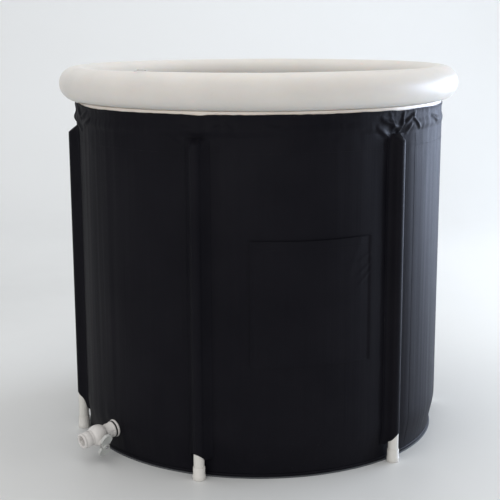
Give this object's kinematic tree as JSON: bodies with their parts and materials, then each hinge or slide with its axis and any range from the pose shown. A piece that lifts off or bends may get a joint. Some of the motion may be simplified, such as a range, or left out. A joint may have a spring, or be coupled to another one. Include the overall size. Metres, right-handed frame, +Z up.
{
  "type": "portable ice bath tub",
  "caption": "Round soft-walled cold plunge tub: sleeved poles, an inflated top ring, a side pocket and a quarter-turn drain valve.",
  "frame": {"origin": "on the tub's own axis, on the floor that it stands on", "axes": "+Z up along the tub's axis, -Y towards the front of the picture, +X to its right"},
  "size_m": [0.808, 0.808, 0.7529],
  "materials": {
    "cover_cloth": "black coated nylon cloth with a low sheen",
    "pearl_foam": "matt closed-cell foam sheet",
    "white_pvc": "warm white soft sheet, satin gloss",
    "pale_pvc": "pale translucent soft sheet, satin gloss",
    "base_pvc": "grey coated sheet",
    "pole_plastic": "off-white extruded and moulded plastic",
    "valve_plastic": "off-white moulded plastic",
    "handle_plastic": "milky translucent moulded plastic",
    "black_rubber": "matt black",
    "seat_plastic": "smooth white",
    "screw_steel": "plain stainless"
  },
  "bodies": {
    "tub": {"side_cover": "cover_cloth", "gathered_band": "cover_cloth", "bottom_piping": "cover_cloth", "front_pocket": "cover_cloth", "pole_sleeve_1": "cover_cloth", "pole_sleeve_2": "cover_cloth", "pole_sleeve_3": "cover_cloth", "pole_sleeve_4": "cover_cloth", "pole_sleeve_5": "cover_cloth", "pole_sleeve_6": "cover_cloth", "wall_foam": "pearl_foam", "floor_foam": "pearl_foam", "inner_liner": "white_pvc", "air_ring": "white_pvc", "air_valve_neck": "white_pvc", "ring_strip": "pale_pvc", "base_sheet": "base_pvc", "pole_1": "pole_plastic", "pole_2": "pole_plastic", "pole_3": "pole_plastic", "pole_4": "pole_plastic", "pole_5": "pole_plastic", "pole_6": "pole_plastic", "pole_plug_1": "pole_plastic", "pole_plug_2": "pole_plastic", "pole_plug_3": "pole_plastic", "pole_plug_4": "pole_plastic", "pole_plug_5": "pole_plastic", "pole_plug_6": "pole_plastic", "foot_cap_1": "pole_plastic", "foot_cap_2": "pole_plastic", "foot_cap_3": "pole_plastic", "foot_cap_4": "pole_plastic", "foot_cap_5": "pole_plastic", "foot_cap_6": "pole_plastic", "drain_bulkhead": "valve_plastic", "drain_nut": "valve_plastic", "drain_body": "valve_plastic", "drain_outlet": "valve_plastic", "outer_gasket": "black_rubber", "inner_gasket": "black_rubber", "stem_seal": "black_rubber", "inlet_seat": "seat_plastic", "outlet_seat": "seat_plastic"},
    "valve_stem": {"drain_handle": "handle_plastic", "handle_screw": "screw_steel", "drain_stem": "seat_plastic", "drain_ball": "seat_plastic"},
    "air_cap": {"air_valve_cap": "white_pvc"}
  },
  "joints": [
    {"name": "drain_handle_turn", "type": "hinge", "parent": "tub", "child": "valve_stem", "pos_m": [-0.31637, -0.2608, 0.04856], "axis": [0.6008, -0.6271, -0.4958], "range_deg": [0, 90]},
    {"name": "air_cap_hinge", "type": "hinge", "parent": "tub", "child": "air_cap", "pos_m": [-0.20144, -0.30307, 0.74923], "axis": [0.5695, 0.7985, -0.1951], "range_deg": [0, 150]}
  ]
}
